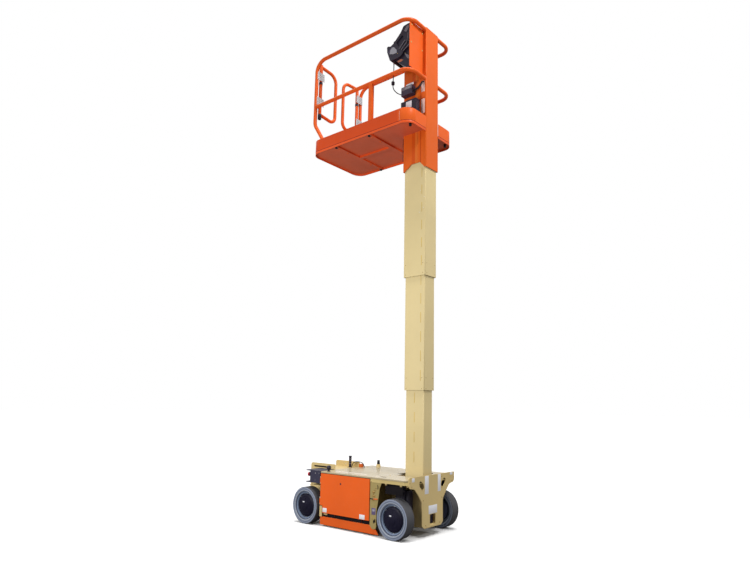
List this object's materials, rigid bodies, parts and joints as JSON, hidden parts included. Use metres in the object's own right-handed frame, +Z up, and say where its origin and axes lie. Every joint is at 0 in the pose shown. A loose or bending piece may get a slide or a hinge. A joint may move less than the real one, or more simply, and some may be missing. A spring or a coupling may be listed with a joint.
{
  "type": "vertical mast lift",
  "caption": "Self-propelled vertical mast lift with its sleeve mast raised: orange guarded platform over a cream chassis on solid tyres.",
  "frame": {"origin": "on the ground, midway between the axles and between the two sides", "axes": "+X to the mast end, +Y to the left side, +Z up"},
  "size_m": [1.365, 0.76, 4.723],
  "materials": {
    "orange_paint": "gloss powder coat",
    "cream_paint": "gloss powder coat",
    "grey_rubber": "solid non-marking rubber",
    "rim_grey": "satin paint",
    "axle_black": "satin paint",
    "black_plastic": "moulded",
    "black_rubber": "matt",
    "orange_plastic": "moulded",
    "red_plastic": "gloss",
    "zinc_plate": "zinc plated"
  },
  "bodies": {
    "chassis": {"chassis_frame": "cream_paint", "mast_well": "cream_paint", "wheel_arch_right": "cream_paint", "wheel_arch_left": "cream_paint", "rear_tub": "cream_paint", "counterweight": "axle_black", "deck_plate": "cream_paint", "front_end_plate": "cream_paint", "ground_control_box": "axle_black", "stop_button": "red_plastic", "wheel_bracket": "cream_paint", "batteries": "black_plastic", "power_unit": "axle_black", "deck_stop": "black_rubber", "deck_knob": "black_plastic", "kingpin_housing_right": "axle_black", "kingpin_housing_left": "axle_black", "mast_stage_1": "cream_paint", "mast_foot_plate": "cream_paint", "rear_axle": "axle_black", "deck_connector": "orange_plastic", "connector_cable": "black_rubber"},
    "guard_plunger": {"guard_plunger": "black_plastic"},
    "mast_stage_2": {"mast_stage_2": "cream_paint"},
    "mast_stage_3": {"mast_stage_3": "cream_paint"},
    "platform": {"carriage_column": "orange_paint", "platform_pan": "orange_paint", "toe_board": "orange_paint", "console_plate": "orange_paint", "control_console": "black_plastic", "control_box": "black_plastic", "document_box": "black_plastic", "pan_stops": "black_rubber", "console_cable": "black_rubber", "top_rail_right": "orange_paint", "top_rail_left": "orange_paint", "mid_rail_right": "orange_paint", "mid_rail_left": "orange_paint", "mid_post_right": "orange_paint", "mid_post_left": "orange_paint", "gate_hinge_plates_right": "zinc_plate", "gate_hinge_plates_left": "zinc_plate"},
    "knuckle_right": {"steering_knuckle_right": "axle_black", "drive_motor_right": "axle_black"},
    "side_door_right": {"side_door_right": "orange_paint"},
    "pothole_guard_right": {"pothole_guard_right": "orange_paint"},
    "gate_right": {"gate_right": "orange_paint"},
    "wheel_front_right": {"tyre_front_right": "grey_rubber", "rim_front_right": "rim_grey"},
    "wheel_rear_right": {"tyre_rear_right": "grey_rubber", "rim_rear_right": "rim_grey"},
    "knuckle_left": {"steering_knuckle_left": "axle_black", "drive_motor_left": "axle_black"},
    "side_door_left": {"side_door_left": "orange_paint"},
    "pothole_guard_left": {"pothole_guard_left": "orange_paint"},
    "gate_left": {"gate_left": "orange_paint"},
    "wheel_front_left": {"tyre_front_left": "grey_rubber", "rim_front_left": "rim_grey"},
    "wheel_rear_left": {"tyre_rear_left": "grey_rubber", "rim_rear_left": "rim_grey"}
  },
  "joints": [
    {"name": "steer_right", "type": "hinge", "parent": "chassis", "child": "knuckle_right", "pos_m": [0.52, -0.262, 0.42], "axis": [0, 0, 1], "range_deg": [-55, 55]},
    {"name": "steer_left", "type": "hinge", "parent": "chassis", "child": "knuckle_left", "pos_m": [0.52, 0.262, 0.42], "axis": [0, 0, 1], "range_deg": [-55, 55]},
    {"name": "wheel_spin_front_right", "type": "hinge", "parent": "knuckle_right", "child": "wheel_front_right", "pos_m": [0.52, -0.33, 0.1625], "axis": [0, 1, 0], "continuous": true},
    {"name": "wheel_spin_rear_right", "type": "hinge", "parent": "chassis", "child": "wheel_rear_right", "pos_m": [-0.52, -0.33, 0.1625], "axis": [0, 1, 0], "continuous": true},
    {"name": "wheel_spin_front_left", "type": "hinge", "parent": "knuckle_left", "child": "wheel_front_left", "pos_m": [0.52, 0.33, 0.1625], "axis": [0, 1, 0], "continuous": true},
    {"name": "wheel_spin_rear_left", "type": "hinge", "parent": "chassis", "child": "wheel_rear_left", "pos_m": [-0.52, 0.33, 0.1625], "axis": [0, 1, 0], "continuous": true},
    {"name": "mast_lift", "type": "slide", "parent": "chassis", "child": "mast_stage_2", "axis": [0, 0, 1], "range_m": [-1.025, 0]},
    {"name": "mast_stage_3_lift", "type": "slide", "parent": "mast_stage_2", "child": "mast_stage_3", "axis": [0, 0, 1], "range_m": [-1.025, 0]},
    {"name": "platform_lift", "type": "slide", "parent": "mast_stage_3", "child": "platform", "axis": [0, 0, 1], "range_m": [-1.025, 0]},
    {"name": "guard_plunger_drop", "type": "slide", "parent": "chassis", "child": "guard_plunger", "axis": [0, 0, 1], "range_m": [-0.014, 0]},
    {"name": "pothole_guard_right_lift", "type": "slide", "parent": "chassis", "child": "pothole_guard_right", "axis": [0, 0, 1], "range_m": [0, 0.05]},
    {"name": "side_door_right_swing", "type": "hinge", "parent": "chassis", "child": "side_door_right", "pos_m": [-0.343, -0.356, 0.29], "axis": [0, 0, -1], "range_deg": [0, 95]},
    {"name": "gate_right_swing", "type": "hinge", "parent": "platform", "child": "gate_right", "pos_m": [-0.623, -0.286, 4.4], "axis": [0, 0, -1], "range_deg": [0, 90]},
    {"name": "pothole_guard_left_lift", "type": "slide", "parent": "chassis", "child": "pothole_guard_left", "axis": [0, 0, 1], "range_m": [0, 0.05]},
    {"name": "side_door_left_swing", "type": "hinge", "parent": "chassis", "child": "side_door_left", "pos_m": [-0.343, 0.356, 0.29], "axis": [0, 0, 1], "range_deg": [0, 95]},
    {"name": "gate_left_swing", "type": "hinge", "parent": "platform", "child": "gate_left", "pos_m": [-0.623, 0.286, 4.4], "axis": [0, 0, 1], "range_deg": [0, 90]}
  ],
  "couplings": [
    {"joint": "steer_left", "follows": "steer_right", "ratio": 1},
    {"joint": "mast_stage_3_lift", "follows": "mast_lift", "ratio": 1},
    {"joint": "platform_lift", "follows": "mast_lift", "ratio": 1},
    {"joint": "guard_plunger_drop", "follows": "mast_lift", "ratio": 0.01365},
    {"joint": "pothole_guard_right_lift", "follows": "mast_lift", "ratio": -0.0487},
    {"joint": "pothole_guard_left_lift", "follows": "mast_lift", "ratio": -0.0487}
  ]
}
